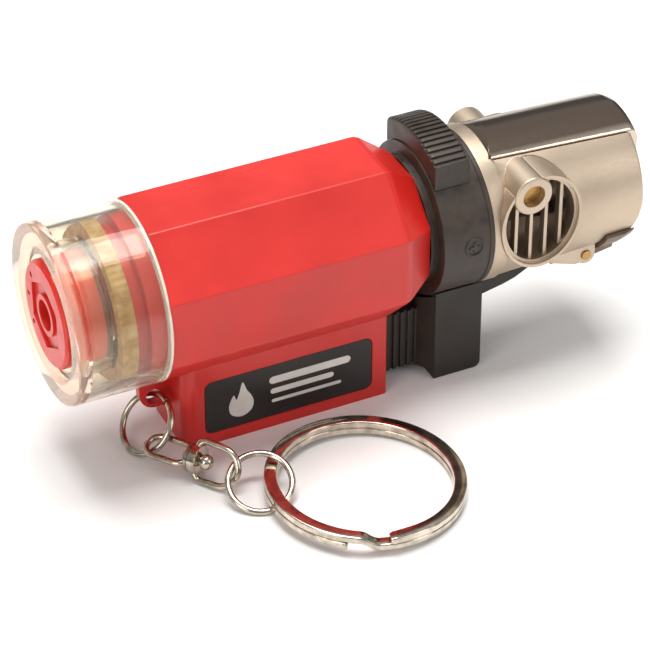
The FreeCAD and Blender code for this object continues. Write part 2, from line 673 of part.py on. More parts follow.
def lid_long_edge(edge):
    """Test for the two long upper edges of the lid."""
    middle = edge.CenterOfMass
    at_side = abs(middle.y) > LID_HALF[0] - 0.1
    outside = math.hypot(middle.y, middle.z) > 9.4
    return edge.BoundBox.XLength > 15 and at_side and outside


def make_lid():
    pivot_x, pivot_z = LID_PIVOT
    front_in = HEAD_X[1] + 0.2
    shell = turned([(LID_X[0], 8.8), (LID_X[0], 10.05), (LID_X[1] - 1.2, 9.42), (LID_X[1] - 0.35, 9.05),
                    (LID_X[1], 8.3), (LID_X[1], 0), (front_in, 0), (front_in, 8.3), (HEAD_X[1] - 0.4, 8.3)])
    top = shell.common(lid_plan(0, 0.0, 14.0))
    top = rounded(top, LID_EDGE_R, lid_long_edge)
    front = shell.common(block(front_in, 90, -LID_HALF[1], LID_HALF[1], -9, 1))
    apron = lid_front_wall(front_in, LID_X[1])
    front = front.common(apron)
    cheeks = []
    for side in (-1, 1):
        y0 = min(side * 3.3, side * 4.2)
        y1 = max(side * 3.3, side * 4.2)
        plate = rod_y(2.3, y0, y1, pivot_x, pivot_z)
        riser = side_plate([(pivot_x - 2.1, pivot_z), (pivot_x - 1.9, 8.6), (pivot_x + 5.5, 8.6),
                            (pivot_x + 2.1, pivot_z - 0.6)], y0, y1)
        cheeks.append(plate.fuse(riser))
    lid = top.fuse([front] + cheeks)
    swing = rod_y(LID_SWING_R, -8, 8, pivot_x, pivot_z).fuse(block(pivot_x, 90, -8, 8, -12, 14))
    lid = lid.common(swing)
    for y0, y1 in ((-8, -4.22), (4.22, 8)):
        lid = lid.cut(rod_y(WASHER_R + 0.1, y0, y1, pivot_x, pivot_z))
    return lid.cut(rod_y(AXLE_R + RUN_GAP, -8, 8, pivot_x, pivot_z)).removeSplitter()


def lid_front_wall(x0, x1):
    """Front wall of the lid: straight sides and a round lower end."""
    half = LID_HALF[1] - 0.1
    drop = 1.0
    round_end = rod(half, x0, x1, 0, drop)
    return round_end.fuse(block(x0, x1, -half, half, drop, 12))


def make_lid_axle():
    return rod_y(AXLE_R, BOSS_FACE[0] + 1.1, BOSS_FACE[1] - 1.1, *LID_PIVOT)


def make_friction_washers():
    rings = []
    for y0 in (-4.62, 4.27):
        ring = rod_y(WASHER_R, y0, y0 + 0.35, *LID_PIVOT)
        rings.append(ring.cut(rod_y(AXLE_R + RUN_GAP, -8, 8, *LID_PIVOT)))
    return Part.Compound(rings)


def make_front_guard():
    """Lower front piece between the two ears, held by the small brass pin."""
    pin_x, pin_z = GUARD_PIN
    profile = [(67.5, -8.0), (67.5, -9.9), (74.0, -10.2), (76.6, -9.8), (77.0, -8.0)]
    guard = side_plate(profile, -4.5, 4.5)
    skirt = turned([(73.2, 9.62), (73.2, 10.1), (75.8, 10.05), (77.4, 9.65), (77.4, 9.5)])
    guard = guard.cut(rod(9.75, 50, 90)).fuse(skirt.common(sector(180, 60, 20, 73, 78)))
    ears = rod_y(1.2, -4.5, 4.5, pin_x, pin_z)
    guard = guard.fuse(ears.cut(rod(9.75, 50, 90)))
    return guard.cut(rod_y(GUARD_PIN_R + SNUG_GAP, -8, 8, pin_x, pin_z)).removeSplitter()


def make_guard_pin():
    return rod_y(GUARD_PIN_R, -6.4, 6.4, *GUARD_PIN)


# ---- burner -------------------------------------------------------------------------
def make_gas_jet():
    return turned([(55.35, 0.25), (55.35, 2.0), (58.5, 2.0), (60.0, 0.8), (60.0, 0.25)])


def make_mixing_tube():
    pipe = tube(MIXING_R, 2.1, 53.2, 66.0)
    holes = []
    for turn in range(0, 360, 60):
        hole = Part.makeCylinder(0.7, 6, Vector(61.6, 0, 0), AXIS_Z)
        hole.rotate(Vector(61.6, 0, 0), AXIS_X, turn + 30)
        holes.append(hole)
    return pipe.cut(Part.Compound(holes))


def make_burner_nut():
    return polygon_rod(6, 3.9, 57.5, 59.0).cut(rod(MIXING_R + SNUG_GAP, 50, 62))


def make_burner_tube():
    inner, outer = BURNER_R
    return turned([(64.0, MIXING_R + SNUG_GAP), (64.0, 3.6), (66.5, outer), (76.8, outer), (76.8, inner),
                   (66.6, inner), (65.9, MIXING_R + SNUG_GAP)])


def make_flame_holder():
    disc = rod(BURNER_R[0] - SNUG_GAP, 73.0, 74.4)
    holes = [rod(0.45, 70, 80)]
    for radius, count in ((1.45, 6), (2.75, 12)):
        for index in range(count):
            turn = 2 * math.pi * index / count
            holes.append(rod(0.42, 70, 80, radius * math.cos(turn), radius * math.sin(turn)))
    return disc.cut(Part.Compound(holes))


def make_burner_bracket():
    """Plate that centres the burner tube in the head, open above for the lid."""
    plate = tube(HEAD_BORE_R - SNUG_GAP, BURNER_R[1] + SNUG_GAP, 68.4, 69.4)
    plate = plate.cut(block(60, 80, -6, 6, 4.0, 12))
    return plate.cut(rod(0.9 + SNUG_GAP, 60, 80, LEAD_Y, LEAD_Z))


# ---- key-ring chain -----------------------------------------------------------------
def swivel_frame(width):
    """Unit vectors along the swivel and across it."""
    along = Vector(SWIVEL_AXIS).normalize()
    across = width - along * width.dot(along)
    return along, across.normalize()


def swept_wire(points, radius):
    """Round wire through smooth points."""
    curve = Part.BSplineCurve()
    curve.interpolate(points)
    path = Part.Wire(curve.toShape())
    tangent = curve.tangent(curve.FirstParameter)[0]
    section = Part.Wire(Part.makeCircle(radius, points[0], tangent))
    return path.makePipeShell([section], True, False)


def make_lug_ring():
    return ring_wire(LUG_RING_CENTRE, LUG_RING_NORMAL, LINK_R, WIRE_R)


def make_swivel_eye():
    """Bent wire eye on a conical base, with the rivet that the stirrup turns on."""
    along, across = swivel_frame(EYE_WIDTH)
    outline = [(EYE_LENGTH - 0.5, 1.0), (EYE_LENGTH - 1.1, 1.5), (1.6, 1.66)]
    for step in range(5):
        turn = math.radians(90 + 45 * step)
        outline.append((EYE_R * math.cos(turn), EYE_R * math.sin(turn)))
    outline += [(1.6, -1.66), (EYE_LENGTH - 1.1, -1.5), (EYE_LENGTH - 0.5, -1.0)]
    points = [SWIVEL_START + along * x + across * y for x, y in outline]
    loop = swept_wire(points, WIRE_R)
    cone = Part.makeCone(0.7, EYE_BASE_R, 0.8, SWIVEL_START + along * (EYE_LENGTH - 1.1), along)
    base = Part.makeCylinder(EYE_BASE_R, 0.31, SWIVEL_START + along * (EYE_LENGTH - 0.31), along)
    shank = Part.makeCylinder(RIVET_R, 1.9, SWIVEL_START + along * (EYE_LENGTH - 0.2), along)
    head = Part.makeSphere(RIVET_HEAD_R, SWIVEL_START + along * (HUB_END + 0.75))
    head = head.common(Part.makeCylinder(2.0, 3.0, SWIVEL_START + along * (HUB_END + RUN_GAP), along))
    return loop.fuse([cone, base, shank, head]).removeSplitter()


def make_swivel_stirrup():
    """Disc on the rivet, with a wide loop for the next ring."""
    along, across = swivel_frame(STIRRUP_WIDTH)
    base = SWIVEL_START + along * STIRRUP_BASE
    disc = Part.makeCylinder(HUB_R, HUB_END - HUB_START, SWIVEL_START + along * HUB_START, along)
    outline = [(0.0, 1.2), (0.05, 1.9), (0.5, 2.45), (1.7, 2.54), (3.15, 2.5)]
    for step in range(1, 6):
        turn = math.radians(90 - 30 * step)
        outline.append((3.15 + 2.8 * math.cos(turn), 2.5 * math.sin(turn)))
    outline += [(x, -y) for x, y in reversed(outline[:5])]
    points = [base + along * x + across * y for x, y in outline]
    loop = swept_wire(points, WIRE_R)
    bore = Part.makeCylinder(RIVET_R + RUN_GAP, 3, SWIVEL_START + along * (EYE_LENGTH - 0.5), along)
    return loop.fuse(disc).cut(bore).removeSplitter()


def make_link_ring():
    return ring_wire(LINK_RING_CENTRE, LINK_RING_NORMAL, LINK_R + 0.05, WIRE_R)


def make_split_ring():
    """Two flat coils lying on each other."""
    coils = []
    for lift in (-SPLIT_COIL, 0.0):
        base = Vector(0, 0, lift)
        outer = Part.makeCylinder(SPLIT_R + SPLIT_WIDE / 2, SPLIT_COIL + 0.01, base, AXIS_Z)
        inner = Part.makeCylinder(SPLIT_R - SPLIT_WIDE / 2, SPLIT_COIL + 0.01, base, AXIS_Z)
        coils.append(outer.cut(inner))
    ring = coils[0].fuse(coils[1]).removeSplitter()
    ring.Placement = FreeCAD.Placement(SPLIT_CENTRE, FreeCAD.Rotation(AXIS_Z, SPLIT_NORMAL))
    return ring


PARTS = {
    "body_shell": make_body_shell,
    "label_plate": make_label_plate,
    "tank_cup": make_tank_cup,
    "tank_seal_ring": make_tank_seal_ring,
    "filler_plug": make_filler_plug,
    "plug_gasket": make_plug_gasket,
    "filler_valve_body": make_filler_valve_body,
    "filler_seal": make_filler_seal,
    "filler_stem": make_filler_stem,
    "filler_spring": make_filler_spring,
    "filler_end_plug": make_filler_end_plug,
    "tank_bulkhead": make_tank_bulkhead,
    "bulkhead_o_ring": make_bulkhead_o_ring,
    "gas_valve_body": make_gas_valve_body,
    "valve_seat": make_valve_seat,
    "fuel_wick": make_fuel_wick,
    "valve_stem": make_valve_stem,
    "valve_spring": make_valve_spring,
    "valve_lever": make_valve_lever,
    "lever_pin": make_lever_pin,
    "gas_tube": make_gas_tube,
    "adjuster_tab": make_adjuster_tab,
    "adjuster_ring": make_adjuster_ring,
    "regulator_nut": make_regulator_nut,
    "piezo_case": make_piezo_case,
    "piezo_terminal": make_piezo_terminal,
    "piezo_crystal": make_piezo_crystal,
    "piezo_plunger": make_piezo_plunger,
    "piezo_spring": make_piezo_spring,
    "ignition_lead": make_ignition_lead,
    "electrode_insulator": make_electrode_insulator,
    "electrode": make_electrode,
    "trigger": make_trigger,
    "collar": make_collar,
    "front_plate": make_front_plate,
    "head_barrel": make_head_barrel,
    "air_grille_near": lambda: make_grille(-1),
    "air_grille_far": lambda: make_grille(1),
    "lid": make_lid,
    "lid_axle": make_lid_axle,
    "friction_washers": make_friction_washers,
    "front_guard": make_front_guard,
    "guard_pin": make_guard_pin,
    "gas_jet": make_gas_jet,
    "mixing_tube": make_mixing_tube,
    "burner_nut": make_burner_nut,
    "burner_tube": make_burner_tube,
    "flame_holder": make_flame_holder,
    "burner_bracket": make_burner_bracket,
    "lug_ring": make_lug_ring,
    "swivel_eye": make_swivel_eye,
    "swivel_stirrup": make_swivel_stirrup,
    "link_ring": make_link_ring,
    "split_ring": make_split_ring,
}

os.makedirs("parts", exist_ok=True)
for name, make in PARTS.items():
    shape = make()
    shape.exportStep("parts/" + name + ".step")
    print(name, len(shape.Solids), "solid,", round(shape.Volume, 2), "mm3, valid", shape.isValid())
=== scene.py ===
"""Pocket butane torch: the looks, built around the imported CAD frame. Metres, same frame as the CAD."""
import json
import math

import bmesh
import bpy
import numpy as np
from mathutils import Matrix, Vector


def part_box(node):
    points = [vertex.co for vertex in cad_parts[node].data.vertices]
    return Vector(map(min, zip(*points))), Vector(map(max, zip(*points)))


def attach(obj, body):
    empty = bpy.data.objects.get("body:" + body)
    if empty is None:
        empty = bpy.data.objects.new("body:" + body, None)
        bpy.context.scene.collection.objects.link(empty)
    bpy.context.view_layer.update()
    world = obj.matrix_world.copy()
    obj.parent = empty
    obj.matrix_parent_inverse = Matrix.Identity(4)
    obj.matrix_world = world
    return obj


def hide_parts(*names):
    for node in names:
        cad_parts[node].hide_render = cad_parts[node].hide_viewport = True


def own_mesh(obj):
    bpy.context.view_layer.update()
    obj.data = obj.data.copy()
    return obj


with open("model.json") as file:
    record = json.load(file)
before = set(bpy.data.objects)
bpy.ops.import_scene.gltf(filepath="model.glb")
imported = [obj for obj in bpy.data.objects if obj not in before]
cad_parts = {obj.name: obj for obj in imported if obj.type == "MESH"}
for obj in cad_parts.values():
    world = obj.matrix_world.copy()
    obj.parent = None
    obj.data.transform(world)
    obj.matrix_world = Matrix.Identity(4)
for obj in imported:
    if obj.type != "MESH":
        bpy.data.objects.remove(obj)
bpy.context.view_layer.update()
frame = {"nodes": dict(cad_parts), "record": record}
NODES = frame["nodes"]
BODY_OF = {node: body for body, nodes in frame["record"]["behaviour"]["bodies"].items() for node in nodes}
MM = 0.001

# split ring (mm): flat wire wound on this centre, its axis leaning off upright by the slope SPLIT_LEAN
SPLIT_CENTRE = (32.2, -22.3, -20.6)
SPLIT_LEAN = 0.05
SPLIT_RADIUS = 11.7
SPLIT_WIRE = (1.6, 0.94)
SPLIT_WIRE_CORNER = 0.2
COIL_LIFT = 0.475
END_FLARE = 0.3

# the winding (degrees): its start, the step between its two coils, its end, and the length of an end's flare
COIL_START = -102.0
STEP_FROM = 241.0
STEP_TO = 252.0
COIL_END = 594.0
END_FLARE_SPAN = 16.0

# lug ring (mm): wire radius, the way its butt joint faces, and how much a cut wire end is rounded down
LUG_WIRE_R = 0.42
LUG_GAP_TOWARDS = (1.0, 0.0, 0.3)
ROUND_WIRE_END = 0.86
FLAT_WIRE_END = 0.8

# places that the looks follow (mm): the cup's length, then from where to where the colour changes on the
# cup's face, along the plug (x) where its painted light rises, and across the lid's rounded edge where its
# painted highlight rises (half width)
CUP_LENGTH = 12.0
CUP_FACE = (0.2, 2.4)
PLUG_PAINTED_LIGHT = (1.3, 2.2)
LID_EDGE_HIGHLIGHT = (3.8, 4.45)

# label print (mm): the ink's two depths off the plate, the flame, then bars as (x, z, length, half height)
INK_BACK = 0.003
INK_FRONT = 0.02
FLAME_AT = (23.2, -16.6)
FLAME_HEIGHT = 5.2
BARS = ((27.6, -15.0, 10.2, 0.55), (27.6, -16.7, 8.0, 0.4), (27.6, -18.2, 9.2, 0.25))

# springs: node, joint, fixed end (0 low x, 1 high x), stroke in mm
SPRINGS = (("filler_spring", "filler_stem_press", 1, 1.0),
           ("valve_spring", "valve_stem_lift", 1, 1.36),
           ("piezo_spring", "trigger_press", 0, 3.5))

# camera (m, mm) and the point that the lights aim at
CAMERA_AT = (-0.096226, -0.278962, 0.210701)
CAMERA_AIM = (0.037393, 0.0, -0.013105)
LENS_MM = 166.15
SENSOR_MM = 36.0
LIGHT_AIM = (0.04, 0.0, -0.005)


# ---- material helpers ---------------------------------------------------------------
def new_material(name, colour, rough, metallic=0.0):
    material = bpy.data.materials.new(name)
    material.use_nodes = True
    shader = material.node_tree.nodes["Principled BSDF"]
    shader.inputs["Base Color"].default_value = (*colour, 1.0)
    shader.inputs["Roughness"].default_value = rough
    shader.inputs["Metallic"].default_value = metallic
    return material, material.node_tree, shader


def grain(tree, size_mm, detail=3.0):
    """Noise whose lumps are size_mm across."""
    place = tree.nodes.new("ShaderNodeTexCoord")
    noise = tree.nodes.new("ShaderNodeTexNoise")
    noise.inputs["Scale"].default_value = 1.0 / (size_mm * MM)
    noise.inputs["Detail"].default_value = detail
    tree.links.new(place.outputs["Object"], noise.inputs["Vector"])
    return noise.outputs["Fac"]


def math_node(tree, operation, first, second=None):
    """One sum on a value, with a plain number or another value as its second term."""
    node = tree.nodes.new("ShaderNodeMath")
    node.operation = operation
    tree.links.new(first, node.inputs[0])
    if isinstance(second, (int, float)):
        node.inputs[1].default_value = second
    elif second is not None:
        tree.links.new(second, node.inputs[1])
    return node.outputs["Value"]


def spread(tree, value, low, high, to_low, to_high):
    """Maps a value from one range to another."""
    node = tree.nodes.new("ShaderNodeMapRange")
    node.inputs["From Min"].default_value = low
    node.inputs["From Max"].default_value = high
    node.inputs["To Min"].default_value = to_low
    node.inputs["To Max"].default_value = to_high
    tree.links.new(value, node.inputs["Value"])
    return node.outputs["Result"]


def two_tone(tree, shader, value, dark, light, low=0.35, high=0.65):
    """Base colour between dark and light by a value."""
    ramp = tree.nodes.new("ShaderNodeValToRGB")
    ramp.color_ramp.elements[0].position = low
    ramp.color_ramp.elements[0].color = (*dark, 1.0)
    ramp.color_ramp.elements[1].position = high
    ramp.color_ramp.elements[1].color = (*light, 1.0)
    tree.links.new(value, ramp.inputs["Fac"])
    tree.links.new(ramp.outputs["Color"], shader.inputs["Base Color"])


def vary_roughness(tree, shader, value, smooth, rough):
    """Roughness between smooth and rough by a grain value."""
    tree.links.new(spread(tree, value, 0.3, 0.7, smooth, rough), shader.inputs["Roughness"])


def emboss(tree, shader, heights, depth_mm, edge_mm=0.0):
    """Bump from one or more values, with corners softened over edge_mm."""
    total = heights[0]
    for height in heights[1:]:
        total = math_node(tree, "ADD", total, height)
    bump = tree.nodes.new("ShaderNodeBump")
    bump.inputs["Distance"].default_value = depth_mm * MM
    bump.inputs["Strength"].default_value = 1.0
    tree.links.new(total, bump.inputs["Height"])
    tree.links.new(bump.outputs["Normal"], shader.inputs["Normal"])
    if edge_mm > 0:
        soft = tree.nodes.new("ShaderNodeBevel")
        soft.samples = 4
        soft.inputs["Radius"].default_value = edge_mm * MM
        tree.links.new(soft.outputs["Normal"], bump.inputs["Normal"])


def coat(shader, weight, rough):
    shader.inputs["Coat Weight"].default_value = weight
    shader.inputs["Coat Roughness"].default_value = rough


def shade(colour, factor):
    return tuple(min(1.0, c * factor) for c in colour)


def plastic(name, colour, rough, texture_mm=0.12, depth_mm=0.004, smudge_mm=6.0, contrast=0.1,
            gloss=0.0, edge_mm=0.0):
    """Moulded plastic: fine skin texture, cloudy handling marks in the gloss, slight colour drift."""
    material, tree, shader = new_material(name, colour, rough)
    fine = grain(tree, texture_mm, 2.0)
    cloud = grain(tree, smudge_mm, 4.0)
    two_tone(tree, shader, cloud, shade(colour, 1 - contrast), shade(colour, 1 + contrast))
    vary_roughness(tree, shader, cloud, rough * 0.8, rough * 1.25)
    emboss(tree, shader, [fine], depth_mm, edge_mm)
    coat(shader, gloss, 0.08)
    return material


def metal(name, colour, rough, texture_mm=0.15, depth_mm=0.002, contrast=0.12, stain_mm=5.0, edge_mm=0.0):
    """Plated or machined metal: fine cast skin, faint staining, uneven polish."""
    material, tree, shader = new_material(name, colour, rough, 1.0)
    fine = grain(tree, texture_mm, 3.0)
    stain = grain(tree, stain_mm, 5.0)
    two_tone(tree, shader, stain, shade(colour, 1 - contrast), shade(colour, 1 + contrast))
    vary_roughness(tree, shader, fine, rough * 0.75, rough * 1.3)
    emboss(tree, shader, [fine], depth_mm, edge_mm)
    return material


def levels(tree, value, stops):
    """Passes a value through (position, level) pairs, from 0 to 1."""
    ramp = tree.nodes.new("ShaderNodeValToRGB")
    elements = ramp.color_ramp.elements
    elements[0].position, first = stops[0]
    elements[0].color = (first, first, first, 1.0)
    elements[1].position, last = stops[-1]
    elements[1].color = (last, last, last, 1.0)
    for position, level in stops[1:-1]:
        elements.new(position).color = (level, level, level, 1.0)
    tree.links.new(value, ramp.inputs["Fac"])
    return ramp.outputs["Color"]


def place_axes(tree):
    """The X, Y and Z of the shaded point in the torch's own frame."""
    place = tree.nodes.new("ShaderNodeTexCoord")
    axes = tree.nodes.new("ShaderNodeSeparateXYZ")
    tree.links.new(place.outputs["Object"], axes.inputs["Vector"])
    return axes.outputs


def along_body(tree, from_mm, to_mm):
    """Value that rises from 0 to 1 between two places along the torch."""
    return spread(tree, place_axes(tree)["X"], from_mm * MM, to_mm * MM, 0.0, 1.0)


def ridges_around(tree, count):
    """Value that rises and falls count times on the way round the torch's long axis."""
    axes = place_axes(tree)
    turn = math_node(tree, "ARCTAN2", axes["Z"], axes["Y"])
    return math_node(tree, "SINE", math_node(tree, "MULTIPLY", turn, count))


def black_plating():
    """Glossy black plating, with a painted highlight on the lid's two rounded long edges."""
    top = (0.235, 0.18, 0.14)
    # painted highlight: the light that the lid's rounded long edges reflect, painted into the colour
    edge_highlight = (0.62, 0.52, 0.42)
    material, tree, shader = new_material("black_nickel", top, 0.15, 1.0)
    sideways = math_node(tree, "ABSOLUTE", place_axes(tree)["Y"])
    # mask for the painted highlight, rising across the lid's rounded edges
    edge = spread(tree, sideways, LID_EDGE_HIGHLIGHT[0] * MM, LID_EDGE_HIGHLIGHT[1] * MM, 0.0, 1.0)
    two_tone(tree, shader, edge, top, edge_highlight, 0.0, 1.0)
    fine = grain(tree, 0.3)
    vary_roughness(tree, shader, fine, 0.11, 0.2)
    emboss(tree, shader, [fine], 0.001, 0.1)
    return material


def clear_plastic():
    """Clear acrylic, peach towards its thick end face, with a milky moulded lip and a slight ripple."""
    peach = (1.0, 0.70, 0.53)
    cream = (1.0, 0.955, 0.84)
    material, tree, shader = new_material("clear_cup", cream, 0.03)
    two_tone(tree, shader, along_body(tree, *CUP_FACE), peach, cream, 0.0, 1.0)
    clear = levels(tree, along_body(tree, 0.0, CUP_LENGTH),
                   ((0.0, 0.66), (0.06, 0.70), (0.10, 0.97), (0.965, 0.97), (0.975, 0.45)))
    tree.links.new(clear, shader.inputs["Transmission Weight"])
    shader.inputs["IOR"].default_value = 1.24
    coat(shader, 0.3, 0.05)
    vary_roughness(tree, shader, grain(tree, 2.5, 4.0), 0.0, 0.06)
    emboss(tree, shader, [grain(tree, 1.6, 2.0)], 0.01)
    return material


def plug_plastic():
    """Red plug, painted brighter along the part that stands inside the clear cup: painted light standing in
    for the light that the cup focuses onto it.
    """
    face = (0.66, 0.022, 0.012)
    # painted light: the plug's part inside the clear cup is painted brighter, standing in for light that the
    # cup focuses
    barrel_painted_light = (0.95, 0.085, 0.04)
    rough = 0.35
    material, tree, shader = new_material("plug_red", face, rough)
    two_tone(tree, shader, along_body(tree, *PLUG_PAINTED_LIGHT), face, barrel_painted_light, 0.0, 1.0)
    vary_roughness(tree, shader, grain(tree, 3.0, 4.0), rough * 0.8, rough * 1.25)
    emboss(tree, shader, [grain(tree, 0.2, 2.0)], 0.003, 0.12)
    coat(shader, 0.1, 0.08)
    return material


def amber_rubber():
    """Half-clear amber rubber with fine ridges moulded across its rim."""
    material, tree, shader = new_material("seal_amber", (0.80, 0.56, 0.25), 0.35)
    two_tone(tree, shader, grain(tree, 1.5, 4.0), (0.62, 0.38, 0.14), (0.90, 0.70, 0.38))
    shader.inputs["Transmission Weight"].default_value = 0.35
    shader.inputs["IOR"].default_value = 1.2
    shader.inputs["Subsurface Weight"].default_value = 0.3
    shader.inputs["Subsurface Radius"].default_value = (0.0012, 0.0007, 0.0003)
    emboss(tree, shader, [grain(tree, 0.3, 2.0), ridges_around(tree, 72)], 0.05)
    return material


MATERIALS = {
    "body_red": plastic("body_red", (0.56, 0.015, 0.010), 0.38, 0.25, 0.004, 9.0, 0.08, gloss=0.15,
                        edge_mm=0.25),
    "plug_red": plug_plastic(),
    "clear_cup": clear_plastic(),
    "seal_amber": amber_rubber(),
    "seal_black": plastic("seal_black", (0.32, 0.06, 0.02), 0.5, 0.08, 0.006),
    "label_black": plastic("label_black", (0.011, 0.009, 0.008), 0.42, 0.3, 0.002, 8.0, 0.2),
    "collar_black": plastic("collar_black", (0.034, 0.022, 0.015), 0.44, 0.25, 0.012, 1.6, 0.35, edge_mm=0.2),
    "trigger_black": plastic("trigger_black", (0.017, 0.011, 0.007), 0.5, 0.1, 0.007, 4.0, 0.25,
                             edge_mm=0.25),
    "inner_plastic": plastic("inner_plastic", (0.60, 0.58, 0.52), 0.5),
    "inner_black": plastic("inner_black", (0.018, 0.017, 0.016), 0.5),
    "ceramic": plastic("ceramic", (0.75, 0.72, 0.66), 0.55, 0.1, 0.006, 2.0, 0.06),
    "brass": metal("brass", (0.43, 0.25, 0.09), 0.3, 0.12, 0.002, 0.15, edge_mm=0.1),
    "steel": metal("steel", (0.55, 0.53, 0.50), 0.3, 0.1, 0.002),
    "spring_steel": metal("spring_steel", (0.50, 0.49, 0.48), 0.28),
    "satin_nickel": metal("satin_nickel", (0.545, 0.445, 0.345), 0.45, 0.14, 0.006, 0.05, 9.0, edge_mm=0.12),
    "black_nickel": black_plating(),
    "gunmetal": metal("gunmetal", (0.20, 0.15, 0.115), 0.5, 0.15, 0.002, 0.2, edge_mm=0.1),
    "chain_nickel": metal("chain_nickel", (0.54, 0.48, 0.40), 0.14, 0.2, 0.0015, 0.32, 1.6, edge_mm=0.08),
    "lead_blue": plastic("lead_blue", (0.55, 0.55, 0.5), 0.35),
    "wick": plastic("wick", (0.75, 0.72, 0.64), 0.9, 0.15, 0.03),
}
PRINT = plastic("label_print", (0.62, 0.60, 0.57), 0.5, 0.1, 0.003)
SLOT_OF = {part["node"]: part["material_slot"] for part in frame["record"]["subparts"]}


# ---- mesh helpers -------------------------------------------------------------------
def paint(piece, material):
    piece.data.materials.clear()
    piece.data.materials.append(material)


def add_piece(name, mesh, slot, body):
    """Puts a mesh in the scene as a piece that moves with a CAD body."""
    piece = bpy.data.objects.new(name, mesh)
    bpy.context.scene.collection.objects.link(piece)
    paint(piece, MATERIALS[slot])
    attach(piece, body)
    return piece


def finished_copy(node, corner=28.0):
    """Stands for a CAD node: the same shape, smooth over its curves and crisp at its corners."""
    shape = bmesh.new()
    shape.from_mesh(NODES[node].data)
    bmesh.ops.remove_doubles(shape, verts=shape.verts, dist=0.002 * MM)
    for face in shape.faces:
        face.smooth = True
    for edge in shape.edges:
        edge.smooth = edge.is_manifold and edge.calc_face_angle(0.0) < math.radians(corner)
    mesh = bpy.data.meshes.new(node + "_finished")
    shape.to_mesh(mesh)
    shape.free()
    piece = add_piece(node + "_finished", mesh, SLOT_OF[node], BODY_OF[node])
    normals = piece.modifiers.new("normals", "WEIGHTED_NORMAL")
    normals.keep_sharp = True
    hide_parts(node)
    return piece


def squash_spring(node):
    """Gives the spring's finished copy a mesh of its own; the spring is not shortened here."""
    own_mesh(FINISHED[node])


def swept(name, stations, outline):
    """Closed solid: the outline carried along stations of (centre, across, up, scale)."""
    shape = bmesh.new()
    loops = []
    for centre, across, up, scale in stations:
        loops.append([shape.verts.new(centre + across * (a * scale) + up * (b * scale)) for a, b in outline])
    count = len(outline)
    for first, second in zip(loops, loops[1:]):
        for index in range(count):
            after = (index + 1) % count
            shape.faces.new((first[index], first[after], second[after], second[index]))
    shape.faces.new(list(reversed(loops[0])))
    shape.faces.new(loops[-1])
    bmesh.ops.recalc_face_normals(shape, faces=shape.faces)
    for face in shape.faces:
        face.smooth = len(face.verts) == 4
    for edge in shape.edges:
        edge.smooth = edge.calc_face_angle(0.0) < math.radians(40)
    mesh = bpy.data.meshes.new(name)
    shape.to_mesh(mesh)
    shape.free()
    return mesh


# ---- key-ring chain -----------------------------------------------------------------
def fit_ring(node):
    """Centre, axis and mean radius of a ring-shaped CAD node."""
    data = NODES[node].data
    flat = np.zeros(len(data.vertices) * 3)
    data.vertices.foreach_get("co", flat)
    points = flat.reshape(-1, 3)
    low = points.min(axis=0)
    high = points.max(axis=0)
    centre = (low + high) / 2
    axis = np.linalg.svd(points - centre, full_matrices=False)[2][2]
    radius = np.linalg.norm(points - centre, axis=1).mean()
    return Vector(centre), Vector(axis), float(radius)


def wire_circle(radius, sides=18):
    """Round wire's outline, in metres."""
    turns = [2 * math.pi * index / sides for index in range(sides)]
    return [(radius * MM * math.cos(turn), radius * MM * math.sin(turn)) for turn in turns]


def open_ring(node, gap_towards, wire_radius, gap_mm=0.16):
    """Round wire ring with a butt joint on the side that gap_towards points to."""
    centre, axis, radius = fit_ring(node)
    side = (gap_towards - axis * gap_towards.dot(axis)).normalized()
    turned = axis.cross(side)
    half_gap = gap_mm * MM / radius / 2
    steps = 120
    stations = []
    for index in range(steps + 1):
        turn = half_gap + (2 * math.pi - 2 * half_gap) * index / steps
        out = side * math.cos(turn) + turned * math.sin(turn)
        scale = ROUND_WIRE_END if index in (0, steps) else 1.0
        stations.append((centre + out * radius, out, axis, scale))
    mesh = swept(node + "_wire", stations, wire_circle(wire_radius))
    piece = add_piece(node + "_wire", mesh, SLOT_OF[node], BODY_OF[node])
    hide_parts(node)


def rounded_bar(width, height, corner):
    """Outline of a flat wire with rounded corners."""
    outline = []
    corners = ((1, 1), (-1, 1), (-1, -1), (1, -1))
    for quarter, (side_x, side_y) in enumerate(corners):
        for step in range(4):
            turn = math.radians(90 * quarter + 30 * step)
            outline.append((side_x * (width / 2 - corner) + corner * math.cos(turn),
                            side_y * (height / 2 - corner) + corner * math.sin(turn)))
    return [(a * MM, b * MM) for a, b in outline]


def split_ring_coils():
    """Flat wire wound nearly twice round, with the step between the two coils and both free ends."""
    centre = Vector(SPLIT_CENTRE) * MM
    axis = Vector((SPLIT_LEAN, 0.0, 1.0)).normalized()
    east = Vector((1.0, 0.0, -SPLIT_LEAN)).normalized()
    north = axis.cross(east)
    stations = []
    count = 348
    for index in range(count + 1):
        angle = COIL_START + (COIL_END - COIL_START) * index / count
        share = min(1.0, max(0.0, (angle - STEP_FROM) / (STEP_TO - STEP_FROM)))
        level = COIL_LIFT - 2 * COIL_LIFT * share * share * (3 - 2 * share)
        to_end = min(angle - COIL_START, COIL_END - angle)
        radius = SPLIT_RADIUS + END_FLARE * max(0.0, 1 - to_end / END_FLARE_SPAN) ** 2
        turn = math.radians(angle)
        out = east * math.cos(turn) + north * math.sin(turn)
        scale = FLAT_WIRE_END if index in (0, count) else 1.0
        stations.append((centre + out * radius * MM + axis * level * MM, out, axis, scale))
    mesh = swept("split_ring_coils", stations, rounded_bar(*SPLIT_WIRE, SPLIT_WIRE_CORNER))
    piece = add_piece("split_ring_coils", mesh, SLOT_OF["split_ring"], BODY_OF["split_ring"])
    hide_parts("split_ring")


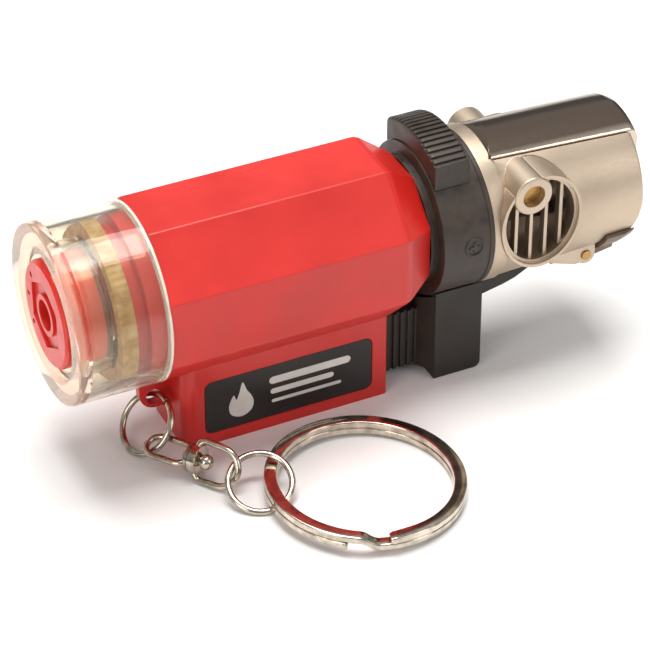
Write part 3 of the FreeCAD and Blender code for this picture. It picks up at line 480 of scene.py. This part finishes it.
# ---- label --------------------------------------------------------------------------
def flame_outline(x, z, height):
    """Smooth closed outline of a flame with one small side tongue."""
    corners = ((0.04, 0.50), (0.15, 0.24), (0.26, 0.06), (0.32, -0.15), (0.25, -0.38), (0.0, -0.50),
               (-0.26, -0.39), (-0.33, -0.16), (-0.27, 0.06), (-0.19, 0.18), (-0.13, 0.03), (-0.05, 0.22))
    points = []
    for index in range(len(corners)):
        a, b, c, d = (corners[(index + step) % len(corners)] for step in (-1, 0, 1, 2))
        for step in range(5):
            t = step / 5
            blend = [((2 * q) + (r - p) * t + (2 * p - 5 * q + 4 * r - w) * t * t
                      + (3 * q - p - 3 * r + w) * t * t * t) / 2 for p, q, r, w in zip(a, b, c, d)]
            points.append((x + height * blend[0], z + height * blend[1]))
    return points


def bar_outline(x, z, length, half):
    """Outline of a bar with round ends."""
    points = []
    for index in range(10):
        turn = math.radians(-90 + 20 * index)
        points.append((x + length + half * math.cos(turn), z + half * math.sin(turn)))
    for index in range(10):
        turn = math.radians(90 + 20 * index)
        points.append((x + half * math.cos(turn), z + half * math.sin(turn)))
    return points


def label_print():
    """Plain flame mark with three bars, printed on the label."""
    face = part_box("label_plate")[0][1] / MM
    shapes = [flame_outline(*FLAME_AT, FLAME_HEIGHT)] + [bar_outline(*bar) for bar in BARS]
    ink = bmesh.new()
    for points in shapes:
        back = [ink.verts.new(Vector((x, face - INK_BACK, z)) * MM) for x, z in points]
        front = [ink.verts.new(Vector((x, face - INK_FRONT, z)) * MM) for x, z in points]
        ink.faces.new(back)
        ink.faces.new(list(reversed(front)))
        for index in range(len(points)):
            after = (index + 1) % len(points)
            ink.faces.new((back[index], back[after], front[after], front[index]))
    bmesh.ops.recalc_face_normals(ink, faces=ink.faces)
    mesh = bpy.data.meshes.new("label_print")
    ink.to_mesh(mesh)
    ink.free()
    piece = add_piece("label_print", mesh, "inner_plastic", BODY_OF["label_plate"])
    paint(piece, PRINT)


# ---- pieces -------------------------------------------------------------------------
OWN_SHAPE = ("lug_ring", "split_ring")
FINISHED = {}
for node, thing in NODES.items():
    paint(thing, MATERIALS[SLOT_OF[node]])
    if node not in OWN_SHAPE:
        FINISHED[node] = finished_copy(node)
for node, joint, end, stroke_mm in SPRINGS:
    squash_spring(node)
open_ring("lug_ring", Vector(LUG_GAP_TOWARDS), LUG_WIRE_R)
split_ring_coils()
label_print()


# ---- floor, lights, camera ----------------------------------------------------------
def build_floor():
    """Plain pale floor at the height of the housing's foot."""
    mesh = bpy.data.meshes.new("floor")
    span = 3.0
    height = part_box("body_shell")[0][2]
    corners = [(-span, -span, height), (span, -span, height), (span, span, height), (-span, span, height)]
    mesh.from_pydata(corners, [], [(0, 1, 2, 3)])
    floor = bpy.data.objects.new("floor", mesh)
    bpy.context.scene.collection.objects.link(floor)
    material, tree, shader = new_material("floor_paper", (0.86, 0.86, 0.86), 0.9)
    two_tone(tree, shader, grain(tree, 40.0, 3.0), (0.85, 0.85, 0.85), (0.87, 0.87, 0.87))
    paint(floor, material)


def area_light(name, place, size, watts, colour):
    """Soft rectangular light that aims at the middle of the torch."""
    light = bpy.data.lights.new(name, "AREA")
    light.shape = "RECTANGLE"
    light.size = size[0]
    light.size_y = size[1]
    light.energy = watts
    light.color = colour
    holder = bpy.data.objects.new(name, light)
    holder.location = place
    holder.rotation_euler = (Vector(LIGHT_AIM) - Vector(place)).to_track_quat("-Z", "Y").to_euler()
    bpy.context.scene.collection.objects.link(holder)


def build_lights():
    """Three soft lights and a sky that is darker towards the floor."""
    area_light("key", (0.05, 0.12, 0.75), (0.5, 0.5), 7.6, (1.0, 0.98, 0.95))
    area_light("side", (-0.6, -0.35, 0.30), (0.35, 0.45), 1.5, (1.0, 0.96, 0.90))
    area_light("front", (0.5, -0.6, 0.35), (0.3, 0.5), 1.1, (1.0, 0.98, 0.96))
    world = bpy.data.worlds.new("studio")
    world.use_nodes = True
    bpy.context.scene.world = world
    tree = world.node_tree
    back = tree.nodes["Background"]
    back.inputs["Strength"].default_value = 0.5
    way = tree.nodes.new("ShaderNodeTexCoord")
    parts = tree.nodes.new("ShaderNodeSeparateXYZ")
    ramp = tree.nodes.new("ShaderNodeValToRGB")
    stops = ramp.color_ramp.elements
    stops[0].position = 0.0
    stops[0].color = (0.33, 0.32, 0.30, 1.0)
    stops[1].position = 1.0
    stops[1].color = (1.0, 1.0, 1.0, 1.0)
    for place, level in ((0.25, 0.38), (0.42, 0.9)):
        stop = stops.new(place)
        stop.color = (level, level, level, 1.0)
    tree.links.new(way.outputs["Generated"], parts.inputs["Vector"])
    tree.links.new(parts.outputs["Z"], ramp.inputs["Fac"])
    tree.links.new(ramp.outputs["Color"], back.inputs["Color"])


def build_camera():
    """The view from above the near side, at the filler end."""
    camera = bpy.data.cameras.new("camera")
    camera.lens = LENS_MM
    camera.sensor_width = SENSOR_MM
    camera.clip_start = 0.01
    camera.clip_end = 20.0
    holder = bpy.data.objects.new("camera", camera)
    holder.location = CAMERA_AT
    aim = Vector(CAMERA_AIM) - holder.location
    holder.rotation_euler = aim.to_track_quat("-Z", "Y").to_euler()
    bpy.context.scene.collection.objects.link(holder)
    bpy.context.scene.camera = holder


build_floor()
build_lights()
build_camera()
bpy.context.scene.view_settings.view_transform = "Standard"
